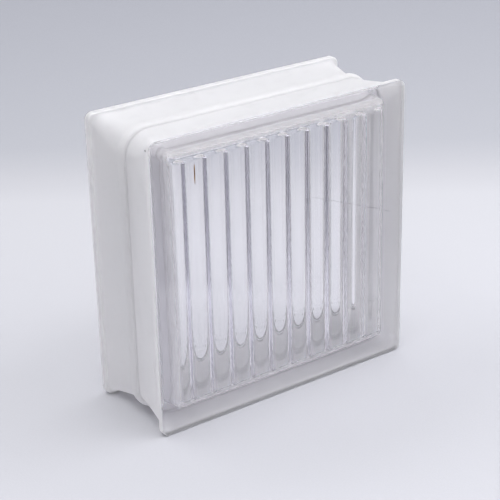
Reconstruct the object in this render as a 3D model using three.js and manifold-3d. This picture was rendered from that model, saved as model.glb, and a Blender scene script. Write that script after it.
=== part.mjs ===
// Hollow glass block for walls: two pressed halves fused at a raised seam, with fluted inner faces.
// Millimetres, +Z up. The block stands on its lower rims, its front face looks along -Y,
// and the origin is the middle of its base.
import * as THREE from 'three';
import { mergeVertices } from 'three/addons/utils/BufferGeometryUtils.js';
import Module from 'manifold-3d';

// Overall sizes
const blockWidth = 197;
const blockHeight = 197;
const blockDepth = 76;

// Face rims: the square lips that stand out past the mortar channel
const rimThickness = 6;
const rimCornerRadius = 5;
const arrisRadius = 1.3;
const lipRadius = 0.8;

// Edge channel for the mortar, measured in from the rims' outline to the coated surface
const channelDepthAtRim = 2.2;
const channelDepthAtSeam = 3.5;
const channelFilletRun = 3;
const channelCornerRadiusAtRim = 6.4;
const channelCornerRadiusAtSeam = 16.8;

// Raised seam where the halves are fused
const seamBeadWidth = 7.9;
const seamBeadHeight = 1.9;
const seamBeadFullness = 0.8;

// White coating over the rims' edges, the channel and the seam
const coatingThickness = 0.35;
const coatingClearance = 0.2;
const bareArris = 2;

// Hollow inside the halves, measured in from the block's outline to the walls beside the face plates
const wallAtSides = 12.7;
const wallAtEnds = 11.4;
const wallDraft = 1.4;
const hollowFilletRadius = 4.8;
const hollowCornerRadius = 5.6;
const hollowShift = 1.6;

// Face plate and the flutes pressed into its inner side
const plateThicknessAtRidges = 7.4;
const fluteCount = 11;
const fluteDepth = 2.1;
const fluteShift = 0.8;
const fluteEndMargin = 16.1;
const fluteEndRun = 2.2;
// Each flute ends in a shallow dome, this much longer at the flute's middle
const fluteEndRise = 0.8;

// Fineness of the curved surfaces
const cornerSteps = 6;
const arrisSteps = 4;
const lipSteps = 2;
const channelFilletSteps = 4;
const beadSteps = 4;
const stepsPerFlute = 8;
const fluteEndSteps = 4;
const hollowFilletSteps = 4;
const closestStations = 0.2;
// The hollow's form runs past the seam, so that the cut leaves no skin there
const cutOverrun = 1;

const halfDepth = blockDepth / 2;
const middleHeight = blockHeight / 2;
const rimBack = -halfDepth + rimThickness;
const hollowHalfWidth = blockWidth / 2 - wallAtSides;
const hollowHalfHeight = blockHeight / 2 - wallAtEnds;
const flutePitch = 2 * hollowHalfWidth / fluteCount;
const fluteHalfLength = blockHeight / 2 - fluteEndMargin;

const wasm = await Module();
wasm.setup();

function toSolid(geometry) {
  const merged = mergeVertices(geometry, 1e-5);
  const mesh = new wasm.Mesh({
    numProp: 3,
    vertProperties: new Float32Array(merged.attributes.position.array),
    triVerts: new Uint32Array(merged.index.array),
  });
  return new wasm.Manifold(mesh);
}

function toGeometry(solid) {
  const mesh = solid.getMesh();
  const geometry = new THREE.BufferGeometry();
  geometry.setAttribute('position', new THREE.BufferAttribute(mesh.vertProperties, 3));
  geometry.setIndex(new THREE.BufferAttribute(mesh.triVerts, 1));
  geometry.computeVertexNormals();
  return geometry;
}

function geometryOf(points, triangles) {
  const positions = points.flatMap((point) => [point.x, point.y, point.z]);
  const geometry = new THREE.BufferGeometry();
  geometry.setAttribute('position', new THREE.Float32BufferAttribute(positions, 3));
  geometry.setIndex(triangles);
  return facingOut(geometry);
}

// Turns every triangle over if the enclosed volume comes out negative.
function facingOut(geometry) {
  const position = geometry.attributes.position;
  const index = geometry.index.array;
  const corner = [new THREE.Vector3(), new THREE.Vector3(), new THREE.Vector3()];
  let volume = 0;
  for (let start = 0; start < index.length; start += 3) {
    corner.forEach((vector, place) => vector.fromBufferAttribute(position, index[start + place]));
    volume += corner[0].dot(corner[1].cross(corner[2]));
  }
  if (volume < 0) {
    index.reverse();
  }
  return geometry;
}

// Triangles between two rings of equal point counts, given by their first points' numbers.
function bandBetween(here, there, ringSize) {
  const triangles = [];
  for (let step = 0; step < ringSize; step += 1) {
    const next = (step + 1) % ringSize;
    triangles.push(here + step, here + next, there + next);
    triangles.push(here + step, there + next, there + step);
  }
  return triangles;
}

// Flat cap over a ring that lies in the plane of one depth.
function capOver(ring, offset, reversed) {
  const outline = ring.map((point) => new THREE.Vector2(point.x, point.z));
  return THREE.ShapeUtils.triangulateShape(outline, []).flatMap((triangle) => {
    const corners = reversed ? [...triangle].reverse() : triangle;
    return corners.map((corner) => corner + offset);
  });
}

// Skins a row of rings. A closed row returns to its first ring; an open row gets a cap at each end.
function loft(rings, closedRow) {
  const ringSize = rings[0].length;
  const lastStart = (rings.length - 1) * ringSize;
  const triangles = [];
  for (let start = 0; start < lastStart; start += ringSize) {
    triangles.push(...bandBetween(start, start + ringSize, ringSize));
  }
  if (closedRow) {
    triangles.push(...bandBetween(lastStart, 0, ringSize));
  } else {
    triangles.push(...capOver(rings[0], 0, true));
    triangles.push(...capOver(rings[rings.length - 1], lastStart, false));
  }
  return geometryOf(rings.flat(), triangles);
}

// Rounded rectangle in the plane of one depth, set in by a distance from the block's outline.
function outlineRing(inset, cornerRadius, depth) {
  const halfWidth = blockWidth / 2 - inset;
  const halfHeight = blockHeight / 2 - inset;
  const points = [];
  for (let quarter = 0; quarter < 4; quarter += 1) {
    const sideways = quarter === 0 || quarter === 3 ? 1 : -1;
    const upward = quarter < 2 ? 1 : -1;
    for (let step = 0; step <= cornerSteps; step += 1) {
      const angle = (quarter + step / cornerSteps) * Math.PI / 2;
      const x = sideways * (halfWidth - cornerRadius) + cornerRadius * Math.cos(angle);
      const z = upward * (halfHeight - cornerRadius) + cornerRadius * Math.sin(angle);
      points.push(new THREE.Vector3(x, depth, middleHeight + z));
    }
  }
  return points;
}

function quarterAngles(steps) {
  return Array.from({ length: steps + 1 }, (_, step) => step / steps * Math.PI / 2);
}

// Section of the coated surface over a rim's edge and down the channel to the seam, as inset
// against depth. The front half's values; depth runs from near the face to 0 at the seam.
function coatedSection() {
  const wallStart = rimBack + channelFilletRun;
  const beadStart = -seamBeadWidth / 2;
  const lip = quarterAngles(lipSteps).map((angle) => ({
    depth: rimBack - lipRadius * (1 - Math.sin(angle)),
    inset: lipRadius * (1 - Math.cos(angle)),
  }));
  const fillet = quarterAngles(channelFilletSteps).map((angle) => ({
    depth: wallStart - channelFilletRun * Math.cos(angle),
    inset: lipRadius + (channelDepthAtRim - lipRadius) * Math.sin(angle),
  }));
  const bead = quarterAngles(beadSteps).map((angle) => ({
    depth: beadStart * Math.cos(angle),
    inset: channelDepthAtSeam - seamBeadHeight * Math.sin(angle) ** seamBeadFullness,
  }));
  const start = { depth: -halfDepth + bareArris + coatingClearance, inset: 0 };
  return [start, ...lip, ...fillet.slice(1), ...bead];
}

// The outline's corners open from tight ones on the rims to wide ones at the seam.
function coatedCornerRadius(point) {
  const fromSeam = Math.abs(point.depth) / -rimBack;
  const share = THREE.MathUtils.clamp(1 - fromSeam, 0, 1);
  const eased = Math.sin(share * Math.PI / 2);
  const channelRadius = THREE.MathUtils.lerp(channelCornerRadiusAtRim, channelCornerRadiusAtSeam, eased);
  const onWall = Math.abs(point.depth) < -rimBack - channelFilletRun;
  const into = onWall ? 1 : Math.min(point.inset / channelDepthAtRim, 1);
  return THREE.MathUtils.lerp(rimCornerRadius, channelRadius, into);
}

// The coated surface's rings moved towards the glass by one distance, measured square to the surface.
function ringsUnderCoatedSurface(distance) {
  const section = coatedSection();
  const normals = [];
  for (let place = 0; place + 1 < section.length; place += 1) {
    const across = section[place + 1].inset - section[place].inset;
    const along = section[place + 1].depth - section[place].depth;
    const size = Math.hypot(across, along);
    normals.push({ depth: -across / size, inset: along / size });
  }
  const last = normals[normals.length - 1];
  normals.push({ depth: -last.depth, inset: last.inset });
  return section.map((point, place) => {
    const before = normals[Math.max(place - 1, 0)];
    const after = normals[place];
    const mitre = distance / (1 + before.depth * after.depth + before.inset * after.inset);
    const inset = point.inset + mitre * (before.inset + after.inset);
    const depth = point.depth + mitre * (before.depth + after.depth);
    return outlineRing(inset, coatedCornerRadius(point) - distance, depth);
  });
}

// Outer form of the front half: rounded arris, a narrow bare band, then the glass under the coating.
function outerForm() {
  const arris = quarterAngles(arrisSteps).map((angle) => {
    const inset = arrisRadius * (1 - Math.sin(angle));
    const depth = -halfDepth + arrisRadius * (1 - Math.cos(angle));
    return outlineRing(inset, rimCornerRadius - inset, depth);
  });
  const ledge = coatingThickness + coatingClearance;
  const ledgeDepth = -halfDepth + bareArris;
  const bandEnd = outlineRing(0, rimCornerRadius, ledgeDepth);
  const ledgeFoot = outlineRing(ledge, rimCornerRadius - ledge, ledgeDepth);
  const underCoating = ringsUnderCoatedSurface(ledge).slice(1);
  return toSolid(loft([...arris, bandEnd, ledgeFoot, ...underCoating], false));
}

// Stations over the fillet between a face plate and a wall, closer together towards the wall.
function filletStations(reach) {
  return quarterAngles(hollowFilletSteps).map((angle) => reach - hollowFilletRadius * (1 - Math.sin(angle)));
}

// Stations across the hollow, counted from its own middle: every crest and trough gets one.
function stationsAcross() {
  const ends = filletStations(hollowHalfWidth);
  const spacing = flutePitch / stepsPerFlute;
  const offset = fluteShift - hollowShift;
  const limit = ends[0] - closestStations;
  const first = Math.ceil((-limit - offset) / spacing);
  const last = Math.floor((limit - offset) / spacing);
  const middle = [];
  for (let step = first; step <= last; step += 1) {
    middle.push(offset + step * spacing);
  }
  return [...ends.map((station) => -station).reverse(), ...middle, ...ends];
}

// Stations up the hollow: close together only where the flutes end and over the fillets.
function stationsUp() {
  const fillet = filletStations(hollowHalfHeight);
  const fluteEnds = quarterAngles(fluteEndSteps)
    .map((angle) => fluteHalfLength - fluteEndRise - fluteEndRun * Math.cos(angle))
    .filter((station) => station < fillet[0] - closestStations);
  const upper = [...fluteEnds, ...fillet];
  return [...upper.map((station) => -station).reverse(), ...upper];
}

// Face plate's thickness over one spot of the hollow, given from the hollow's own middle.
function plateThickness(x, z, wallGap) {
  const fromFlute = x + hollowShift - fluteShift;
  const wave = 0.5 + 0.5 * Math.cos(2 * Math.PI * fromFlute / flutePitch);
  const endHere = fluteHalfLength - fluteEndRise * (1 - wave);
  const intoFlute = THREE.MathUtils.clamp((endHere - Math.abs(z)) / fluteEndRun, 0, 1);
  const fade = Math.sqrt(1 - (1 - intoFlute) ** 2);
  const intoFillet = hollowFilletRadius - THREE.MathUtils.clamp(wallGap, 0, hollowFilletRadius);
  const rise = hollowFilletRadius - Math.sqrt(hollowFilletRadius ** 2 - intoFillet ** 2);
  return plateThicknessAtRidges - fluteDepth * wave * fade + rise;
}

// One spot of the fluted floor. Spots in the corners are drawn in to the corner's arc.
function floorSpot(x, z) {
  const straightX = hollowHalfWidth - hollowCornerRadius;
  const straightZ = hollowHalfHeight - hollowCornerRadius;
  const shareX = Math.max(Math.abs(x) - straightX, 0) / hollowCornerRadius;
  const shareZ = Math.max(Math.abs(z) - straightZ, 0) / hollowCornerRadius;
  const share = Math.max(shareX, shareZ);
  const wallGap = hollowCornerRadius * (1 - share);
  const squeeze = share > 0 ? share / Math.hypot(shareX, shareZ) : 1;
  const drawnX = shareX > 0 ? Math.sign(x) * (straightX + shareX * squeeze * hollowCornerRadius) : x;
  const drawnZ = shareZ > 0 ? Math.sign(z) * (straightZ + shareZ * squeeze * hollowCornerRadius) : z;
  const depth = -halfDepth + plateThickness(drawnX, drawnZ, wallGap);
  return new THREE.Vector3(drawnX, depth, drawnZ);
}

// The floor's edge moved out along the hollow's outline to a new depth.
function wallRing(edge, outward, depth) {
  const straightX = hollowHalfWidth - hollowCornerRadius;
  const straightZ = hollowHalfHeight - hollowCornerRadius;
  return edge.map((spot) => {
    const side = new THREE.Vector2(
      Math.sign(spot.x) * Math.max(Math.abs(spot.x) - straightX, 0),
      Math.sign(spot.z) * Math.max(Math.abs(spot.z) - straightZ, 0),
    ).normalize();
    return new THREE.Vector3(spot.x + side.x * outward, depth, spot.z + side.y * outward);
  });
}

// The plunger's form: a fluted floor, filleted into walls that open out towards the seam.
function hollowForm() {
  const across = stationsAcross();
  const up = stationsUp();
  const floor = up.flatMap((z) => across.map((x) => floorSpot(x, z)));
  const columns = across.length;
  const rows = up.length;
  const triangles = [];
  for (let row = 0; row + 1 < rows; row += 1) {
    for (let column = 0; column + 1 < columns; column += 1) {
      const low = row * columns + column;
      const high = low + columns;
      triangles.push(low, low + 1, high + 1);
      triangles.push(low, high + 1, high);
    }
  }
  const edgePlaces = [
    ...across.map((_, column) => column),
    ...up.slice(1).map((_, row) => (row + 1) * columns + columns - 1),
    ...across.slice(1).map((_, column) => rows * columns - 2 - column),
    ...up.slice(2).map((_, row) => (rows - 2 - row) * columns),
  ];
  const edge = edgePlaces.map((place) => floor[place]);
  const seamRing = wallRing(edge, wallDraft, 0);
  const endRing = wallRing(edge, wallDraft, cutOverrun);
  const seamStart = floor.length;
  const endStart = seamStart + edge.length;
  edgePlaces.forEach((place, step) => {
    const next = (step + 1) % edge.length;
    triangles.push(place, seamStart + next, edgePlaces[next]);
    triangles.push(place, seamStart + step, seamStart + next);
  });
  triangles.push(...bandBetween(endStart, seamStart, edge.length));
  triangles.push(...capOver(endRing, endStart, true));
  const points = [...floor, ...seamRing, ...endRing];
  points.forEach((point) => point.add(new THREE.Vector3(hollowShift, 0, middleHeight)));
  return toSolid(geometryOf(points, triangles));
}

function frontHalfGeometry() {
  return toGeometry(outerForm().subtract(hollowForm()));
}

// A half's rings, then the same rings turned over for the other side of the seam.
function mirroredAcrossSeam(rings) {
  const back = rings.slice(0, -1).map((ring) => ring.map((point) => new THREE.Vector3(point.x, -point.y, point.z)));
  return [...rings, ...back.reverse()];
}

// Thin white skin from one rim's edge over the channel and the seam to the other rim's edge.
function coatingGeometry() {
  const outerRings = mirroredAcrossSeam(ringsUnderCoatedSurface(0));
  const innerRings = mirroredAcrossSeam(ringsUnderCoatedSurface(coatingThickness));
  return loft([...outerRings, ...innerRings.reverse()], true);
}

function namedMesh(name, geometry, material) {
  const mesh = new THREE.Mesh(geometry, material);
  mesh.name = name;
  return mesh;
}

function clearGlass() {
  return new THREE.MeshStandardMaterial({
    color: 0xe4e6ea,
    roughness: 0.04,
    metalness: 0,
    transparent: true,
    opacity: 0.35,
  });
}

const whiteCoating = new THREE.MeshStandardMaterial({
  color: 0xf2f1ef,
  roughness: 0.55,
  metalness: 0,
});

// The back half is a second pressing of the front one, turned over end for end.
const block = new THREE.Group();
const halfGeometry = frontHalfGeometry();
const frontHalf = namedMesh('front_half', halfGeometry, clearGlass());
const backHalf = namedMesh('back_half', halfGeometry.clone(), clearGlass());
backHalf.rotation.x = Math.PI;
backHalf.position.z = blockHeight;
const edgeCoating = namedMesh('edge_coating', coatingGeometry(), whiteCoating);
block.add(frontHalf, backHalf, edgeCoating);

export default block;
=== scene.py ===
import math
import bpy
import numpy as np
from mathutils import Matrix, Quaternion, Vector


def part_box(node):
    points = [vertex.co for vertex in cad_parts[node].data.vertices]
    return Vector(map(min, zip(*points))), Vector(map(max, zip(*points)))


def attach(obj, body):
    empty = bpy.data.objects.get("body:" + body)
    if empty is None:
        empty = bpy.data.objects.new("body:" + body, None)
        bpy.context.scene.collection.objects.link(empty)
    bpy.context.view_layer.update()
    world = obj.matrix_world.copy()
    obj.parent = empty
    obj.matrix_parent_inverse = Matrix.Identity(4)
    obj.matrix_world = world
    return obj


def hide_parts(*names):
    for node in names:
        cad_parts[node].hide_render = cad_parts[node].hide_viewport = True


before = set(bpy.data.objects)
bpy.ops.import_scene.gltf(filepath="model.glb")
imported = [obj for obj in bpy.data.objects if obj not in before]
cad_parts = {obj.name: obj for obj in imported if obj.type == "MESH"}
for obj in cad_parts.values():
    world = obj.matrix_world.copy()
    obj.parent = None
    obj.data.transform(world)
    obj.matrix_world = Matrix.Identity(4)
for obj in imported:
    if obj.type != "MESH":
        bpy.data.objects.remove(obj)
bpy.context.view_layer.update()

mm = 0.001

# The block's outline comes from the frame. Its own sizes are in millimetres, the studio's in metres
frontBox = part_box("front_half")
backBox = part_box("back_half")
blockWidth = (frontBox[1][0] - frontBox[0][0]) / mm
blockHeight = (frontBox[1][2] - frontBox[0][2]) / mm
blockDepth = (backBox[1][1] - frontBox[0][1]) / mm
halfDepth = blockDepth / 2
midHeight = frontBox[0][2] / mm + blockHeight / 2
print("frame loaded", round(blockWidth, 1), round(blockDepth, 1), round(blockHeight, 1))

glassBody = {
    "rimThickness": 6.0,
    "rimCornerRadius": 5.0,
    "arrisRadius": 1.3,
    "arrisMargin": 0.4,           # a flat ring beside the arris, so that the face is shaded flat
    "ridgeThickness": 7.4,        # face plate measured at the ridges between flutes
    "fluteCount": 11,             # they share the hollow's width
    "fluteDepth": 2.1,
    "fluteShift": 0.8,            # middle flute's place from the block's middle
    "fluteReach": 82.4,           # the flutes' half height
    "fluteEndRun": 2.2,           # each flute fades out over this length
    "frontEndSoftness": 1.5,      # 1 leaves a crisp edge where a flute ends, 2 a soft one
    "backEndSoftness": 1.0,
    "fluteEndRise": 2.8,          # each flute's end is a dome, this much longer at its middle
    "upperDomePower": 2.0,        # shape of the domes: 2 is a plain arc, more is flatter
    "lowerDomePower": 4.0,
    "domeRowReach": 14.0,         # the rows of the mesh begin to bend this far below a dome
    "hollowShift": 1.6,           # the plunger that pressed the hollow sat this far off centre
    # Between hollow and face plate. The front fillet stops in a crease, hollowCornerRadius from the
    # walls, and the rise that is left there makes the front plate 1 mm thicker than ridgeThickness
    "frontFillet": 10.0,
    "backFillet": 4.8,
    "hollowCornerRadius": 5.6,
    "wallAtSides": 12.7,          # from the outline to the hollow, beside the face plates
    "wallAtEnds": 11.4,
    "wallDraft": 1.4,
}

edgeChannel = {
    "depthAtRim": 2.2,
    "depthAtSeam": 3.5,
    "filletRun": 3.0,
    "lipRadius": 0.8,
    "cornerRadiusAtRim": 6.4,
    "cornerRadiusAtSeam": 16.8,
    "beadWidth": 7.9,
    "beadHeight": 1.9,
    "beadFullness": 0.8,          # 1 is a plain ellipse, less is fuller at the shoulders
}

edgeCoating = {
    "thickness": 0.3,
    "bondOverlap": 0.05,          # the film reaches this far into the glass, so no air shows between
    "featherRun": 1.2,            # the film thins out to nothing at the faces' arrises
    "featherShares": (0.33, 0.66, 1.0),
}

meshDetail = {
    "cornerSteps": 20,
    "arrisSteps": 8,
    "lipSteps": 5,
    "channelFilletSteps": 12,
    "channelWallSteps": 12,
    "beadSteps": 12,
    "hollowFilletSteps": 16,
    "columnsPerFlute": 26,
    "columnGap": 0.3,             # between the last column of the flutes and the first of the fillet
    "fluteEndSteps": 12,
    # How far below the flutes' ends the rows lie that lead over from the sparse ones to the crowded
    "easingSteps": (12.0, 10.0, 8.0, 6.5, 5.0, 3.7, 2.6, 1.7, 0.9, 0.4),
    "straightRows": 9,            # where the flutes run straight
    "straightGap": 6.0,           # between those and the first easing row
    "leastRowGap": 0.05,
    "wallSteps": 24,
}

hollowHalfW = blockWidth / 2 - glassBody["wallAtSides"]
hollowHalfH = blockHeight / 2 - glassBody["wallAtEnds"]
flutePitch = 2 * hollowHalfW / glassBody["fluteCount"]
smallestRadius = 0.05


def meshObject(name, points, faces):
    mesh = bpy.data.meshes.new(name)
    mesh.from_pydata([tuple(point) for point in points], [], [tuple(face) for face in faces])
    mesh.validate()
    mesh.update()
    mesh.polygons.foreach_set("use_smooth", [True] * len(mesh.polygons))
    piece = bpy.data.objects.new(name, mesh)
    bpy.context.scene.collection.objects.link(piece)
    return piece


def quarterTurn(steps, first=0):
    return [step / steps * math.pi / 2 for step in range(first, steps + 1)]


# Rounded rectangle at one depth, set in from the block's outline
def outlineRing(inset, radius, depth):
    halfW = blockWidth / 2 - inset
    halfH = blockHeight / 2 - inset
    radius = max(radius, smallestRadius)
    ring = []
    for quarter in range(4):
        sideX = 1 if quarter in (0, 3) else -1
        sideZ = 1 if quarter < 2 else -1
        for step in range(meshDetail["cornerSteps"] + 1):
            angle = (quarter + step / meshDetail["cornerSteps"]) * math.pi / 2
            ring.append((sideX * (halfW - radius) + radius * math.cos(angle), depth,
                         midHeight + sideZ * (halfH - radius) + radius * math.sin(angle)))
    return ring


def loftRings(rings, closedRow=False):
    size = len(rings[0])
    points = [point for ring in rings for point in ring]
    faces = []
    bands = len(rings) if closedRow else len(rings) - 1
    for band in range(bands):
        here = band * size
        there = ((band + 1) % len(rings)) * size
        for step in range(size):
            after = (step + 1) % size
            faces.append((here + step, there + step, there + after, here + after))
    if not closedRow:
        faces.append(tuple(range(size)))
        faces.append(tuple((len(rings) - 1) * size + step for step in reversed(range(size))))
    return points, faces


# Section of the coated edge from the front arris to the seam: (depth, inset, film thickness)
def edgeSection():
    channel = edgeChannel
    detail = meshDetail
    lip = channel["lipRadius"]
    filmStart = -halfDepth + glassBody["arrisRadius"]
    rimBack = -halfDepth + glassBody["rimThickness"]
    wallStart = rimBack + channel["filletRun"]
    beadStart = -channel["beadWidth"] / 2
    film = edgeCoating["thickness"]
    atRim, atSeam = channel["depthAtRim"], channel["depthAtSeam"]
    section = [(filmStart, 0.0, 0.0)]
    for share in edgeCoating["featherShares"]:
        section.append((filmStart + edgeCoating["featherRun"] * share, 0.0, film * share))
    for angle in quarterTurn(detail["lipSteps"]):
        section.append((rimBack - lip * (1 - math.sin(angle)), lip * (1 - math.cos(angle)), film))
    for angle in quarterTurn(detail["channelFilletSteps"], 1):
        section.append((wallStart - channel["filletRun"] * math.cos(angle),
                        lip + (atRim - lip) * math.sin(angle), film))
    for step in range(1, detail["channelWallSteps"] + 1):
        share = step / (detail["channelWallSteps"] + 1)
        section.append((wallStart + (beadStart - wallStart) * share,
                        atRim + (atSeam - atRim) * share, film))
    for angle in quarterTurn(detail["beadSteps"]):
        rise = channel["beadHeight"] * math.sin(angle) ** channel["beadFullness"]
        section.append((beadStart * math.cos(angle), atSeam - rise, film))
    return section


# Radius of the outline's corners at one depth; in the channel it opens from the rims to the seam
def edgeCorner(depth, inset):
    rimBack = halfDepth - glassBody["rimThickness"]
    share = min(max(1 - abs(depth) / rimBack, 0), 1)
    eased = math.sin(share * math.pi / 2)
    channel = edgeChannel["cornerRadiusAtRim"] * (1 - eased) + edgeChannel["cornerRadiusAtSeam"] * eased
    into = min(inset / edgeChannel["depthAtRim"], 1)
    if abs(depth) < rimBack - edgeChannel["filletRun"]:
        into = 1
    return glassBody["rimCornerRadius"] * (1 - into) + channel * into


# The section moved towards the glass, square to its surface
def offsetSection(section, distances):
    moved = []
    count = len(section)
    for place in range(count):
        normals = []
        for low in (place - 1, place):
            if low < 0:
                continue
            if low + 1 >= count:
                normals.append((-normals[-1][0], normals[-1][1]))
                continue
            along = section[low + 1][0] - section[low][0]
            across = section[low + 1][1] - section[low][1]
            size = math.hypot(along, across)
            normals.append((-across / size, along / size))
        if len(normals) == 1:
            normals.append(normals[0])
        (firstAlong, firstAcross), (nextAlong, nextAcross) = normals
        mitre = distances[place] / (1 + firstAlong * nextAlong + firstAcross * nextAcross)
        moved.append((section[place][0] + mitre * (firstAlong + nextAlong),
                      section[place][1] + mitre * (firstAcross + nextAcross)))
    return moved


def mirrored(section):
    return section + [(-depth, *rest) for depth, *rest in reversed(section[:-1])]


# Outer skin of the fused glass body
def outerSkin():
    arris = glassBody["arrisRadius"]
    corner = glassBody["rimCornerRadius"]
    margin = arris + glassBody["arrisMargin"]
    rings = [(-halfDepth, margin, corner - margin)]
    for angle in quarterTurn(meshDetail["arrisSteps"]):
        inset = arris * (1 - math.sin(angle))
        rings.append((-halfDepth + arris * (1 - math.cos(angle)), inset, corner - inset))
    surface = edgeSection()
    glassLine = offsetSection(surface, [film for _, _, film in surface])
    for (depth, inset, film), (glassDepth, glassInset) in list(zip(surface, glassLine))[1:]:
        rings.append((glassDepth, glassInset, edgeCorner(depth, inset) - film))
    return loftRings([outlineRing(inset, radius, depth) for depth, inset, radius in mirrored(rings)])


def filletStations(reach):
    fillet = glassBody["frontFillet"]
    angles = quarterTurn(meshDetail["hollowFilletSteps"])
    return [reach - fillet * (1 - math.sin(angle)) for angle in angles]


def fluteColumns(reach):
    fillet = filletStations(reach)
    spacing = flutePitch / meshDetail["columnsPerFlute"]
    half = fillet[0] - meshDetail["columnGap"]
    across = list(np.linspace(-half, half, 2 * round(half / spacing) + 1))
    return np.array([-x for x in reversed(fillet)] + across + fillet)


# Rows crowd at the steep ends of the flutes and are sparse where the flutes run straight
def fluteRows(reach):
    detail = meshDetail
    fluteEnd = glassBody["fluteReach"]
    fillet = [z for z in filletStations(reach) if z > fluteEnd + detail["leastRowGap"]]
    ends = []
    for step in range(detail["fluteEndSteps"], -1, -1):
        turn = math.cos(step / detail["fluteEndSteps"] * math.pi)
        ends.append(fluteEnd - glassBody["fluteEndRun"] * (1 - turn) / 2)
    easing = [ends[0] - step for step in detail["easingSteps"]]
    half = easing[0] - detail["straightGap"]
    middle = list(np.linspace(-half, half, detail["straightRows"]))
    side = easing + ends + fillet
    return np.array([-z for z in reversed(side)] + middle + side)


# Each flute's place across itself, from -1 at one ridge through 0 at its middle to 1 at the next ridge
def acrossFlute(x):
    fromFlute = x + glassBody["hollowShift"] - glassBody["fluteShift"]
    return (fromFlute / flutePitch + 0.5) % 1.0 * 2 - 1


# How far a dome's edge falls back from its tip at fluteReach
def domeDrop(x, z):
    power = np.where(z > 0, glassBody["upperDomePower"], glassBody["lowerDomePower"])
    return glassBody["fluteEndRise"] * np.abs(acrossFlute(x)) ** power


# Glass thickness of the front (side -1) or back (side 1) plate; x is from the hollow's own middle
def plateThickness(x, z, wallGap, side):
    shape = glassBody
    fillet, softness = ((shape["frontFillet"], shape["frontEndSoftness"]) if side < 0
                        else (shape["backFillet"], shape["backEndSoftness"]))
    wave = 0.5 + 0.5 * np.cos(math.pi * acrossFlute(x))
    endHere = shape["fluteReach"] - domeDrop(x, z)
    into = np.clip((endHere - np.abs(z)) / shape["fluteEndRun"], 0, 1)
    fade = np.sin(into * math.pi / 2) ** softness
    inFillet = fillet - np.clip(wallGap, 0, fillet)
    rise = fillet - np.sqrt(np.maximum(fillet ** 2 - inFillet ** 2, 0))
    return shape["ridgeThickness"] - shape["fluteDepth"] * wave * fade + rise


# Points of one plate's inner side, with the hollow's corners rounded, and their distances to the
# walls, which are counted up to the corner radius and no further
def hollowGrid(reachX, reachZ, corner):
    fluteEnd = glassBody["fluteReach"]
    bendReach = glassBody["domeRowReach"]
    gridX, gridZ = np.meshgrid(fluteColumns(reachX), fluteRows(reachZ))
    # The rows bend with the domes, so that each dome's edge follows a row of the mesh
    rampUp = np.clip((np.abs(gridZ) - (fluteEnd - bendReach)) / bendReach, 0, 1)
    rampDown = np.clip((reachZ - np.abs(gridZ)) / (reachZ - fluteEnd), 0, 1)
    besideWalls = np.clip((reachX - np.abs(gridX)) / glassBody["frontFillet"], 0, 1)
    bend = domeDrop(gridX, gridZ) * np.minimum(rampUp, rampDown) * besideWalls
    gridZ = gridZ - np.sign(gridZ) * bend
    cornerX = np.clip((np.abs(gridX) - (reachX - corner)) / corner, 0, None)
    cornerZ = np.clip((np.abs(gridZ) - (reachZ - corner)) / corner, 0, None)
    larger = np.maximum(cornerX, cornerZ)
    size = np.hypot(cornerX, cornerZ)
    squeeze = np.where(size > 0, larger / np.where(size > 0, size, 1.0), 1.0)
    inCorner = (cornerX > 0) & (cornerZ > 0)
    outX = np.where(inCorner, np.sign(gridX) * (reachX - corner + cornerX * squeeze * corner), gridX)
    outZ = np.where(inCorner, np.sign(gridZ) * (reachZ - corner + cornerZ * squeeze * corner), gridZ)
    wallGap = np.where(larger > 0, (1 - larger) * corner, corner)
    wallGap = np.minimum(wallGap, np.minimum(reachX - np.abs(gridX), reachZ - np.abs(gridZ)))
    wallGap = np.where(inCorner, (1 - larger) * corner, wallGap)
    return outX, outZ, wallGap


def gridFaces(start, rows, columns, side):
    faces = []
    for row in range(rows - 1):
        for column in range(columns - 1):
            first = start + row * columns + column
            quad = (first, first + 1, first + columns + 1, first + columns)
            faces.append(quad if side > 0 else quad[::-1])
    return faces


# The outermost points of a plate's grid, once round
def gridEdge(rows, columns):
    edge = list(range(columns))
    edge += [row * columns + columns - 1 for row in range(1, rows)]
    edge += [(rows - 1) * columns + column for column in range(columns - 2, -1, -1)]
    edge += [row * columns for row in range(rows - 2, 0, -1)]
    return edge


# Direction in which the hollow's wall faces the outline beside a point of the grid's edge
def wallDirection(x, z, corner):
    awayX = np.clip((abs(x) - (hollowHalfW - corner)) / corner, 0, 1) * np.sign(x)
    awayZ = np.clip((abs(z) - (hollowHalfH - corner)) / corner, 0, 1) * np.sign(z)
    length = math.hypot(awayX, awayZ)
    return awayX / length, awayZ / length


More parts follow.
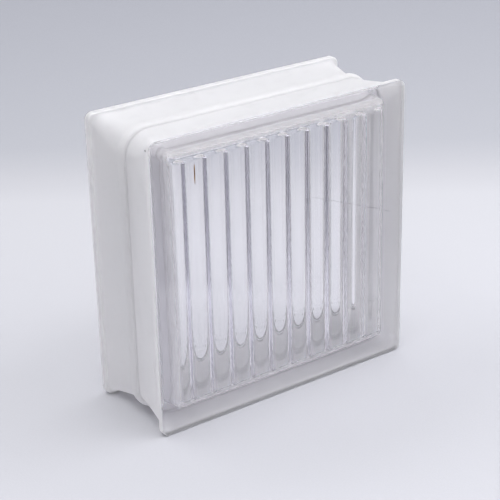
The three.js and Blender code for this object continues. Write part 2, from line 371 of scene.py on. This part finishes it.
# Inner skin: a fluted grid for each face plate, joined by the rings of the walls
def innerSkin():
    corner = glassBody["hollowCornerRadius"]
    shift = glassBody["hollowShift"]
    outX, outZ, wallGap = hollowGrid(hollowHalfW, hollowHalfH, corner)
    rows, columns = outX.shape
    flatX, flatZ = outX.ravel(), outZ.ravel()
    points = []
    faces = []
    innerDepth = {}
    for side in (-1, 1):
        faces += gridFaces(len(points), rows, columns, side)
        innerDepth[side] = halfDepth - plateThickness(outX, outZ, wallGap, side).ravel()
        for x, z, depth in zip(flatX, flatZ, innerDepth[side]):
            points.append((shift + x, side * depth, midHeight + z))
    edge = gridEdge(rows, columns)
    directions = [wallDirection(flatX[place], flatZ[place], corner) for place in edge]
    wallRings = [edge]
    for step in range(1, meshDetail["wallSteps"]):
        share = 2 * step / meshDetail["wallSteps"] - 1
        out = glassBody["wallDraft"] * (1 - abs(share))
        nearer = innerDepth[-1 if share < 0 else 1]
        wallRings.append(list(range(len(points), len(points) + len(edge))))
        for place, (awayX, awayZ) in zip(edge, directions):
            points.append((shift + flatX[place] + awayX * out, share * nearer[place],
                           midHeight + flatZ[place] + awayZ * out))
    wallRings.append([rows * columns + place for place in edge])
    for lower, upper in zip(wallRings, wallRings[1:]):
        for step in range(len(edge)):
            after = (step + 1) % len(edge)
            faces.append((lower[step], lower[after], upper[after], upper[step]))
    return points, faces


def coatingSkin():
    surface = edgeSection()
    bonded = offsetSection(surface, [film + edgeCoating["bondOverlap"] for _, _, film in surface])
    outer = mirrored(surface)
    inner = mirrored([(depth, inset, film) for (depth, inset), (_, _, film) in zip(bonded, surface)])
    outerRings = [outlineRing(inset, edgeCorner(depth, inset), depth) for depth, inset, _ in outer]
    innerRings = [outlineRing(inset, edgeCorner(depth, inset) - film, depth) for depth, inset, film in inner]
    return loftRings(outerRings + innerRings[::-1], closedRow=True)


def toMetres(points):
    return [(x * mm, y * mm, z * mm) for x, y, z in points]


def signedVolume(points, faces):
    total = 0.0
    for face in faces:
        first = Vector(points[face[0]])
        for step in range(1, len(face) - 1):
            total += first.dot(Vector(points[face[step]]).cross(Vector(points[face[step + 1]]))) / 6
    return total


# Faces wound so that the shell holds glass inside it (sign 1) or hollow inside it (sign -1)
def wound(points, faces, sign):
    return faces if signedVolume(points, faces) * sign > 0 else [tuple(reversed(face)) for face in faces]


outerPoints, outerFaces = outerSkin()
innerPoints, innerFaces = innerSkin()
outerFaces = wound(outerPoints, outerFaces, 1)
innerFaces = wound(innerPoints, innerFaces, -1)
glassVolume = signedVolume(outerPoints, outerFaces) + signedVolume(innerPoints, innerFaces)
print("glass cm3", round(glassVolume / 1000, 1))
offset = len(outerPoints)
bodyPoints = toMetres(outerPoints + innerPoints)
bodyFaces = list(outerFaces) + [tuple(corner + offset for corner in face) for face in innerFaces]
glass = meshObject("glass_body", bodyPoints, bodyFaces)
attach(glass, "root")
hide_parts("front_half", "back_half")
print("glass body", len(glass.data.polygons), "faces")

coatPoints, coatFaces = coatingSkin()
coatFaces = wound(coatPoints, coatFaces, 1)
coating = meshObject("white_coating", toMetres(coatPoints), coatFaces)
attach(coating, "root")
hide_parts("edge_coating")
print("coating", len(coating.data.polygons), "faces")


def newMaterial(name):
    material = bpy.data.materials.new(name)
    material.use_nodes = True
    return material, material.node_tree


def feed(tree, socket, value):
    if isinstance(value, bpy.types.NodeSocket):
        tree.links.new(value, socket)
    elif isinstance(value, tuple) and len(value) == 3 and socket.type == "RGBA":
        socket.default_value = (*value, 1)
    else:
        socket.default_value = value


def positionOf(tree):
    return tree.nodes.new("ShaderNodeNewGeometry").outputs["Position"]


# A noise is given as (scale, detail, roughness)
def noiseOf(tree, where, settings):
    noise = tree.nodes.new("ShaderNodeTexNoise")
    for name, value in zip(("Scale", "Detail", "Roughness"), settings):
        noise.inputs[name].default_value = value
    tree.links.new(where, noise.inputs["Vector"])
    return noise.outputs["Fac"]


def vectorStep(tree, operation, where, other=None, output="Vector"):
    step = tree.nodes.new("ShaderNodeVectorMath")
    step.operation = operation
    tree.links.new(where, step.inputs[0])
    if other is not None:
        step.inputs[1].default_value = other
    return step.outputs[output]


def stretched(tree, where, factors):
    return vectorStep(tree, "MULTIPLY", where, factors)


def dotWith(tree, where, axis):
    return vectorStep(tree, "DOT_PRODUCT", where, axis, "Value")


# Distance from a spot in radii, so that 1 is the edge of an egg-shaped mark; both are in millimetres
def eggDistance(tree, where, spot, radii):
    moved = vectorStep(tree, "SUBTRACT", where, [side * mm for side in spot])
    shaped = stretched(tree, moved, [1 / (radius * mm) for radius in radii])
    return vectorStep(tree, "LENGTH", shaped, output="Value")


def easedRange(tree, value, start, end, low=0.0, high=1.0):
    eased = tree.nodes.new("ShaderNodeMapRange")
    eased.interpolation_type = "SMOOTHSTEP"
    feed(tree, eased.inputs["Value"], value)
    for name, bound in (("From Min", start), ("From Max", end), ("To Min", low), ("To Max", high)):
        eased.inputs[name].default_value = bound
    return eased.outputs["Result"]


def mathOf(tree, operation, first, second=0.0):
    step = tree.nodes.new("ShaderNodeMath")
    step.operation = operation
    feed(tree, step.inputs[0], first)
    feed(tree, step.inputs[1], second)
    return step.outputs[0]


# In a Mix node, sockets 6 and 7 are its two colours and output 2 is their blend
def mixColours(tree, factor, first, second):
    blend = tree.nodes.new("ShaderNodeMix")
    blend.data_type = "RGBA"
    feed(tree, blend.inputs["Factor"], factor)
    feed(tree, blend.inputs[6], first)
    feed(tree, blend.inputs[7], second)
    return blend.outputs[2]


def scaledColour(tree, colour, amount):
    scaled = tree.nodes.new("ShaderNodeVectorMath")
    scaled.operation = "SCALE"
    tree.links.new(colour, scaled.inputs[0])
    feed(tree, scaled.inputs["Scale"], amount)
    return scaled.outputs[0]


def bumpOf(tree, height, depth, normal=None):
    bump = tree.nodes.new("ShaderNodeBump")
    bump.inputs["Distance"].default_value = depth
    tree.links.new(height, bump.inputs["Height"])
    if normal is not None:
        tree.links.new(normal, bump.inputs["Normal"])
    return bump.outputs["Normal"]


def mixShaders(tree, factor, first, second):
    blend = tree.nodes.new("ShaderNodeMixShader")
    feed(tree, blend.inputs[0], factor)
    tree.links.new(first, blend.inputs[1])
    tree.links.new(second, blend.inputs[2])
    return blend.outputs[0]


# Marks are placed in millimetres from the block's own middle and foot
glassFinish = {
    "tint": (0.999, 0.997, 1.0),
    "cloudTint": (0.99, 0.988, 0.995),
    "cloudNoise": (45, 3, 0.6),
    "cloudBand": (0.45, 0.75),
    "ior": 1.52,
    "faceRoughness": (0.0, 0.02),
    "roughnessBand": (0.35, 0.75),
    "hollowRoughness": 0.03,      # the fluted side kept the plunger's skin, so it is less polished
    "hollowStart": (2, 4),        # depth under the faces where the fluted side's own finish sets in
    "absorbColour": (0.845, 0.81, 1.0),
    "absorbDensity": 4.5,
    "lampPass": (0.8, 0.8, 0.81),
    "strokeSpacing": 1.3,         # fine upright marks that the plunger left on the fluted side
    "strokeStretch": (1, 1, 0.02),
    "strokeNoise": (2, 0.5),      # detail and roughness
    "strokeDepth": 0.006,
    "skinNoise": (60, 1, 0.5),    # slow waviness of the fire-polished faces
    "skinWave": 0.01,
}

brownStreak = {
    "spot": (-65.2, -32.0, 169.5),
    "radii": (0.55, 5.0, 7.8),
    "colour": (0.36, 0.2, 0.06),
    "core": (0.05, 0.035, 0.03),
    "coreBand": (0.45, 0.8),      # from the core's edge to the full outer colour, in radii
    "edgeBand": (0.95, 1.25),
    "strength": 0.95,
    "roughness": 0.6,
    "noise": (1400, 2, 0.5),
    "noiseStretch": (1, 1, 0.3),
    "noiseShare": 0.5,
}

hairline = {
    "start": (33.0, 130.0),       # x and height of its two ends, on the front face
    "end": (86.0, 108.8),
    "width": 0.5,
    "strength": 0.17,
    "colour": (0.25, 0.25, 0.28),
    "fadeIn": 24.0,
    "fadeOut": 1.0,
    "skinDepth": (0.1, 0.5),      # it lies in this layer under the face
    "wander": 1.2,
    "wanderNoise": (70, 2, 0.5),
}

filmFinish = {
    "colour": (0.975, 0.975, 0.978),
    "wornColour": (0.945, 0.945, 0.95),
    "glowColour": (1.0, 0.994, 0.982),
    "wornGlow": (0.97, 0.964, 0.953),
    "wornBand": (0.5, 0.8),
    "seeThrough": (0.72, 0.77),
    "noiseBand": (0.3, 0.7),
    "footPaintedShade": 0.65,            # painted shade: the film is painted darker along the foot that the block stands on
    "paintedShadeHeight": 2.9,
    "roughness": (0.42, 0.58),
    "brushNoise": (1300, 3, 0.5), # fine lines along the edges
    "brushStretch": (0.06, 1, 0.06),
    "brushDepth": 0.03,
    "mottleNoise": (140, 4, 0.6),
    "mottleDepth": 0.05,
    "speckSpot": (-98.3, -33.2, 191.6),
    "speckRadii": (1.0, 0.6, 0.8),
    "speckBand": (0.6, 1.1),
    "speckColour": (0.12, 0.11, 0.11),
}


def streakOver(tree, place, under):
    mark = brownStreak
    edge = eggDistance(tree, place, mark["spot"], mark["radii"])
    ragged = noiseOf(tree, stretched(tree, place, mark["noiseStretch"]), mark["noise"])
    edge = mathOf(tree, "ADD", edge, mathOf(tree, "MULTIPLY", ragged, mark["noiseShare"]))
    streak = tree.nodes.new("ShaderNodeBsdfPrincipled")
    tone = mixColours(tree, easedRange(tree, edge, *mark["coreBand"]), mark["core"], mark["colour"])
    tree.links.new(tone, streak.inputs["Base Color"])
    streak.inputs["Roughness"].default_value = mark["roughness"]
    share = easedRange(tree, edge, *mark["edgeBand"], mark["strength"], 0)
    return mixShaders(tree, share, under, streak.outputs[0])


def hairlineOver(tree, place, under):
    mark = hairline
    (startX, startZ), (endX, endZ) = mark["start"], mark["end"]
    length = math.hypot(endX - startX, endZ - startZ)
    across = (-(endZ - startZ) / length, 0, (endX - startX) / length)
    offset = (across[0] * startX + across[2] * startZ) * mm
    fromLine = mathOf(tree, "SUBTRACT", dotWith(tree, place, across), offset)
    wander = mathOf(tree, "MULTIPLY", noiseOf(tree, place, mark["wanderNoise"]), mark["wander"] * mm)
    fromLine = mathOf(tree, "ABSOLUTE", mathOf(tree, "ADD", fromLine, wander))
    x = dotWith(tree, place, (1, 0, 0))
    y = dotWith(tree, place, (0, 1, 0))
    shallow, deep = (depth - halfDepth for depth in mark["skinDepth"])
    share = easedRange(tree, fromLine, 0, mark["width"] * mm, mark["strength"], 0)
    begun = easedRange(tree, x, (startX - mark["fadeIn"]) * mm, startX * mm)
    notOver = easedRange(tree, x, endX * mm, (endX + mark["fadeOut"]) * mm, 1, 0)
    inSkin = easedRange(tree, y, shallow * mm, deep * mm, 1, 0)
    for factor in (begun, notOver, inSkin):
        share = mathOf(tree, "MULTIPLY", share, factor)
    line = tree.nodes.new("ShaderNodeBsdfDiffuse")
    line.inputs["Color"].default_value = (*mark["colour"], 1)
    return mixShaders(tree, share, under, line.outputs[0])


def clearGlass():
    finish = glassFinish
    material, tree = newMaterial("clear_pressed_glass")
    shader = tree.nodes["Principled BSDF"]
    shader.inputs["IOR"].default_value = finish["ior"]
    shader.inputs["Transmission Weight"].default_value = 1.0
    place = positionOf(tree)
    fromMiddle = mathOf(tree, "ABSOLUTE", dotWith(tree, place, (0, 1, 0)))
    shallow, deep = finish["hollowStart"]
    inside = easedRange(tree, fromMiddle, (halfDepth - deep) * mm, (halfDepth - shallow) * mm, 1, 0)
    clouds = noiseOf(tree, place, finish["cloudNoise"])
    clouded = easedRange(tree, clouds, *finish["cloudBand"])
    tint = mixColours(tree, clouded, finish["tint"], finish["cloudTint"])
    tree.links.new(tint, shader.inputs["Base Color"])
    polish = easedRange(tree, clouds, *finish["roughnessBand"], *finish["faceRoughness"])
    rougher = mathOf(tree, "MULTIPLY", inside, finish["hollowRoughness"])
    tree.links.new(mathOf(tree, "ADD", polish, rougher), shader.inputs["Roughness"])
    strokeNoise = (1 / (finish["strokeSpacing"] * mm), *finish["strokeNoise"])
    strokes = noiseOf(tree, stretched(tree, place, finish["strokeStretch"]), strokeNoise)
    strokes = mathOf(tree, "MULTIPLY", strokes, inside)
    skin = bumpOf(tree, noiseOf(tree, place, finish["skinNoise"]), finish["skinWave"] * mm)
    tree.links.new(bumpOf(tree, strokes, finish["strokeDepth"] * mm, skin), shader.inputs["Normal"])
    body = streakOver(tree, place, shader.outputs[0])
    body = hairlineOver(tree, place, body)
    clear = tree.nodes.new("ShaderNodeBsdfTransparent")
    clear.inputs["Color"].default_value = (*finish["lampPass"], 1)
    lightPath = tree.nodes.new("ShaderNodeLightPath")
    body = mixShaders(tree, lightPath.outputs["Is Shadow Ray"], body, clear.outputs[0])
    tree.links.new(body, tree.nodes["Material Output"].inputs["Surface"])
    absorb = tree.nodes.new("ShaderNodeVolumeAbsorption")
    absorb.inputs["Color"].default_value = (*finish["absorbColour"], 1)
    absorb.inputs["Density"].default_value = finish["absorbDensity"]
    tree.links.new(absorb.outputs[0], tree.nodes["Material Output"].inputs["Volume"])
    return material


def whiteFilm():
    finish = filmFinish
    material, tree = newMaterial("white_film")
    shader = tree.nodes["Principled BSDF"]
    place = positionOf(tree)
    mottle = noiseOf(tree, place, finish["mottleNoise"])
    brushed = noiseOf(tree, stretched(tree, place, finish["brushStretch"]), finish["brushNoise"])
    wornShare = easedRange(tree, mottle, *finish["wornBand"])
    speckEdge = eggDistance(tree, place, finish["speckSpot"], finish["speckRadii"])
    onSpeck = easedRange(tree, speckEdge, *finish["speckBand"], 1, 0)
    height = dotWith(tree, place, (0, 0, 1))
    # Painted shade along the foot, over both the film's colour and the colour of the light it lets through
    paintedFootShade = easedRange(tree, height, 0, finish["paintedShadeHeight"] * mm, finish["footPaintedShade"], 1)

    def filmTone(plain, worn):
        tone = mixColours(tree, wornShare, plain, worn)
        tone = mixColours(tree, onSpeck, tone, finish["speckColour"])
        return scaledColour(tree, tone, paintedFootShade)

    tree.links.new(filmTone(finish["colour"], finish["wornColour"]), shader.inputs["Base Color"])
    roughness = easedRange(tree, brushed, *finish["noiseBand"], *finish["roughness"])
    tree.links.new(roughness, shader.inputs["Roughness"])
    relief = bumpOf(tree, mottle, finish["mottleDepth"] * mm)
    relief = bumpOf(tree, brushed, finish["brushDepth"] * mm, relief)
    tree.links.new(relief, shader.inputs["Normal"])
    glow = tree.nodes.new("ShaderNodeBsdfTranslucent")
    tree.links.new(filmTone(finish["glowColour"], finish["wornGlow"]), glow.inputs["Color"])
    tree.links.new(relief, glow.inputs["Normal"])
    share = easedRange(tree, mottle, *finish["noiseBand"], *finish["seeThrough"])
    film = mixShaders(tree, share, shader.outputs[0], glow.outputs[0])
    tree.links.new(film, tree.nodes["Material Output"].inputs["Surface"])
    return material


glass.data.materials.append(clearGlass())
coating.data.materials.append(whiteFilm())
print("materials made for glass and film")

# Floor and backdrop in one sweep; distances start at the block's middle
studio = {
    "towardsWall": (0.5819, 0.8133),
    "sweepPaintedTones": [               # distance towards the wall, then the colour painted there, with painted light and shade: paler towards the sweep's foot, darker up the wall
        (0.0, (0.395, 0.395, 0.415)),
        (0.12, (0.425, 0.425, 0.445)),
        (0.32, (0.455, 0.455, 0.473)),
        (0.38, (0.42, 0.42, 0.44)),
        (0.44, (0.36, 0.365, 0.39)),
        (0.60, (0.335, 0.34, 0.37)),
    ],
    "paintedSideLight": (0.965, 1.035),   # painted light and shade: the paper is painted darker on its left side and lighter on its right, as the light falls
    "sideReach": 0.35,
    "paintedShadowLight": 1.13,           # painted light: the paper is painted paler round the block, so that its shadow stays light
    "shadowReach": (0.15, 0.1),
    "shadowBand": (0.5, 1.35),
    "towardsPaintedShade": (0.7066, -0.7076),
    "paintedShadeColour": (0.055, 0.055, 0.063),
    "paintedShadeEdge": (0.163, 0.19),   # where a painted shade begins, off to the front right: a near-black patch on the floor that stands in for the shade there
    "paintedShadeFront": (0.1, 0.215),   # the painted shade grows over this distance in front of the block
    "floorReach": 3.0,            # from the block to the floor's front end
    "floorGap": 0.00008,          # the floor stays just under the rims, so that no light leaks between them
    "sweepStart": 0.37,
    "sweepRadius": 0.28,
    "sweepSteps": 24,
    "wallHeight": 1.0,
    "sweepHalfWidth": 0.7,
    "roughness": 0.9,
    "grainNoise": (900, 3, 0.5),
    "grainBand": (0.3, 0.7),
    "grainShade": (0.985, 1.015),
    "grainDepth": 0.00006,
}
towardsWall = Vector(studio["towardsWall"])
alongWall = Vector((towardsWall.y, -towardsWall.x))


def sweepSheet():
    start, radius = studio["sweepStart"], studio["sweepRadius"]
    profile = [(-studio["floorReach"], 0.0), (start, 0.0)]
    for angle in quarterTurn(studio["sweepSteps"], 1):
        profile.append((start + radius * math.sin(angle), radius * (1 - math.cos(angle))))
    profile.append((start + radius, studio["wallHeight"]))
    points = []
    for along, height in profile:
        for side in (-studio["sweepHalfWidth"], studio["sweepHalfWidth"]):
            spot = towardsWall * along + alongWall * side
            points.append((spot.x, spot.y, height - studio["floorGap"]))
    faces = [(2 * row, 2 * row + 1, 2 * row + 3, 2 * row + 2) for row in range(len(profile) - 1)]
    return meshObject("studio_sweep", points, faces)


def palePaper():
    material, tree = newMaterial("pale_paper")
    shader = tree.nodes["Principled BSDF"]
    shader.inputs["Roughness"].default_value = studio["roughness"]
    place = positionOf(tree)
    # Painted light and shade along the sweep, from the colour stops above
    tones = tree.nodes.new("ShaderNodeValToRGB")
    stops = tones.color_ramp.elements
    for count, (distance, colour) in enumerate(studio["sweepPaintedTones"]):
        stop = stops[count] if count < 2 else stops.new(distance)
        stop.position = distance
        stop.color = (*colour, 1)
    tree.links.new(dotWith(tree, place, (*towardsWall, 0)), tones.inputs["Fac"])
    # Painted shade: a dark patch on the floor in front of the block and to its right
    inPaintedShade = easedRange(tree, dotWith(tree, place, (*studio["towardsPaintedShade"], 0)), *studio["paintedShadeEdge"])
    inFront = easedRange(tree, dotWith(tree, place, (0, -1, 0)), *studio["paintedShadeFront"])
    inPaintedShade = mathOf(tree, "MULTIPLY", inPaintedShade, inFront)
    ground = mixColours(tree, inPaintedShade, tones.outputs["Color"], studio["paintedShadeColour"])
    # Painted light and shade across the paper, darker on the left and lighter on the right
    reach = studio["sideReach"]
    fade = easedRange(tree, dotWith(tree, place, (*alongWall, 0)), -reach, reach, *studio["paintedSideLight"])
    ground = scaledColour(tree, ground, fade)
    # Painted light round the block, which lightens its shadow on the floor
    reachX, reachY = studio["shadowReach"]
    nearBlock = eggDistance(tree, place, (0, 0, 0), (reachX / mm, reachY / mm, 1 / mm))
    paintedLightNearBlock = easedRange(tree, nearBlock, *studio["shadowBand"], studio["paintedShadowLight"], 1)
    ground = scaledColour(tree, ground, paintedLightNearBlock)
    grain = noiseOf(tree, place, studio["grainNoise"])
    shade = easedRange(tree, grain, *studio["grainBand"], *studio["grainShade"])
    tree.links.new(scaledColour(tree, ground, shade), shader.inputs["Base Color"])
    tree.links.new(bumpOf(tree, grain, studio["grainDepth"]), shader.inputs["Normal"])
    return material


sweep = sweepSheet()
sweep.data.materials.append(palePaper())

lighting = {
    "overheadWatts": 27,
    "overheadPlace": (0.0, 0.1, 1.4),
    "overheadAim": (0, 0, 0.1),
    "overheadSize": (1.9, 1.9),
    "airColour": (0.93, 0.94, 1.0),
    "brightSide": (0.92, 0.15, 0.15),
    "brightStrength": 2.2,
    "dimStrength": 0.68,
    "fallStart": -0.6,
    "fallEnd": 0.9,
    "lightBounces": 24,           # light crosses both plates and turns inside them many times
}


# Puts a lamp or camera at its place, looking at its aim, and rolls it by so many degrees
def setUp(thing, place, aim, roll=0.0):
    facing = (Vector(aim) - Vector(place)).to_track_quat("-Z", "Y")
    thing.location = place
    thing.rotation_euler = (facing @ Quaternion((0, 0, 1), math.radians(roll))).to_euler()
    bpy.context.scene.collection.objects.link(thing)


def softbox(name, place, aim, size, watts):
    data = bpy.data.lights.new(name, "AREA")
    data.shape = "RECTANGLE"
    data.size, data.size_y = size
    data.energy = watts
    setUp(bpy.data.objects.new(name, data), place, aim)


# Bright air on the block's right, dim on its left
def studioAir():
    world = bpy.data.worlds.new("studio_air")
    world.use_nodes = True
    tree = world.node_tree
    direction = tree.nodes.new("ShaderNodeTexCoord").outputs["Generated"]
    facing = dotWith(tree, direction, lighting["brightSide"])
    strength = easedRange(tree, facing, lighting["fallStart"], lighting["fallEnd"],
                          lighting["dimStrength"], lighting["brightStrength"])
    tree.nodes["Background"].inputs["Color"].default_value = (*lighting["airColour"], 1)
    tree.links.new(strength, tree.nodes["Background"].inputs["Strength"])
    bpy.context.scene.world = world


softbox("overhead_softbox", lighting["overheadPlace"], lighting["overheadAim"],
        lighting["overheadSize"], lighting["overheadWatts"])
studioAir()
for bounces in ("max_bounces", "glossy_bounces", "transmission_bounces", "diffuse_bounces"):
    setattr(bpy.context.scene.cycles, bounces, lighting["lightBounces"])
print("studio lit")

camera = {
    "place": (-0.5131914, -0.7214932, 0.4799875),
    "aim": (-0.0017987, 0.0, 0.0905372),
    "roll": -1.360974,            # degrees
    "focalPixels": 1460.775,      # focal length, counted in pixels of a square frame
    "frameSide": 500,
    "sensorWidth": 36,            # millimetres
}


def placeCamera():
    data = bpy.data.cameras.new("view")
    data.sensor_width = camera["sensorWidth"]
    data.lens = camera["focalPixels"] / camera["frameSide"] * camera["sensorWidth"]
    eye = bpy.data.objects.new("view", data)
    setUp(eye, camera["place"], camera["aim"], camera["roll"])
    bpy.context.scene.camera = eye


placeCamera()
bpy.context.scene.view_settings.view_transform = "Standard"
